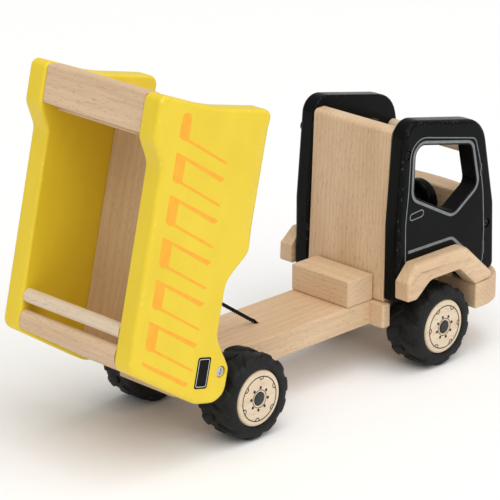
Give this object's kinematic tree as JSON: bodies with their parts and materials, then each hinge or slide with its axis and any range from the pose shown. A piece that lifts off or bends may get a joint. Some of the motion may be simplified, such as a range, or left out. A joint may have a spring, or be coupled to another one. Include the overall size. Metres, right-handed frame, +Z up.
{
  "type": "toy dump truck",
  "caption": "Wooden toy dump truck with an open cab, turning wheels and a tipper body held up at its full tilt by a cord.",
  "frame": {"origin": "middle of the truck's outline on the ground, under its wheels, with the tipper raised", "axes": "+Z up, -Y towards the front of the truck, +X towards its left"},
  "size_m": [0.143, 0.4248, 0.2916],
  "materials": {
    "beech": "steamed beech, sanded, clear matt lacquer",
    "pale_dowel": "pale hardwood, sanded, clear matt lacquer",
    "yellow_paint": "yellow satin paint on hardwood, printed in orange on the outer faces",
    "black_paint": "black satin paint on hardwood, with thin grey printed lines on the cab sides",
    "tyre_rubber": "soft matt black rubber with a chunky tread",
    "hub_plastic": "satin black",
    "bright_steel": "bright zinc plating",
    "black_steel": "black oxide",
    "cord": "laid black cotton cord"
  },
  "bodies": {
    "truck": {"chassis_board": "beech", "stop_block": "beech", "pivot_block": "beech", "axle_block_rear": "beech", "axle_block_front": "beech", "bumper": "beech", "cab_back_panel": "beech", "cab_front_panel": "beech", "cab_side_left": "black_paint", "cab_side_right": "black_paint", "fender_left": "beech", "fender_right": "beech", "roof_dowel": "pale_dowel", "steering_pin": "black_paint", "cab_screw_left_rear": "black_steel", "cab_screw_left_front": "black_steel", "cab_screw_right_rear": "black_steel", "cab_screw_right_front": "black_steel", "pivot_screw_left": "bright_steel", "pivot_screw_right": "bright_steel", "tilt_cord": "cord", "cord_knot_chassis": "cord"},
    "tipper": {"tipper_side_left": "yellow_paint", "tipper_side_right": "yellow_paint", "tipper_floor": "beech", "tipper_head_wall": "beech", "tipper_head_bar": "beech", "tipper_tail_board": "beech", "tipper_dowel": "pale_dowel", "cord_knot_tipper": "cord"},
    "rear_wheelset": {"axle_rear": "bright_steel", "rim_rear_left": "pale_dowel", "rim_rear_right": "pale_dowel", "tyre_rear_left": "tyre_rubber", "tyre_rear_right": "tyre_rubber", "hub_cap_rear_left": "hub_plastic", "hub_cap_rear_right": "hub_plastic"},
    "front_wheelset": {"axle_front": "bright_steel", "rim_front_left": "pale_dowel", "rim_front_right": "pale_dowel", "tyre_front_left": "tyre_rubber", "tyre_front_right": "tyre_rubber", "hub_cap_front_left": "hub_plastic", "hub_cap_front_right": "hub_plastic"},
    "steering": {"steering_wheel": "black_paint"}
  },
  "joints": [
    {"name": "tipper_tilt", "type": "hinge", "parent": "truck", "child": "tipper", "pos_m": [0, 0.12186, 0.0675], "axis": [1, 0, 0], "range_deg": [0, 76.8], "deforming": ["tilt_cord"]},
    {"name": "rear_wheels_spin", "type": "hinge", "parent": "truck", "child": "rear_wheelset", "pos_m": [0, 0.08156, 0.034], "axis": [1, 0, 0], "continuous": true},
    {"name": "front_wheels_spin", "type": "hinge", "parent": "truck", "child": "front_wheelset", "pos_m": [0, -0.12844, 0.034], "axis": [1, 0, 0], "continuous": true},
    {"name": "steering_wheel_spin", "type": "hinge", "parent": "truck", "child": "steering", "pos_m": [0, -0.17344, 0.114], "axis": [0, 1, 0], "continuous": true}
  ]
}
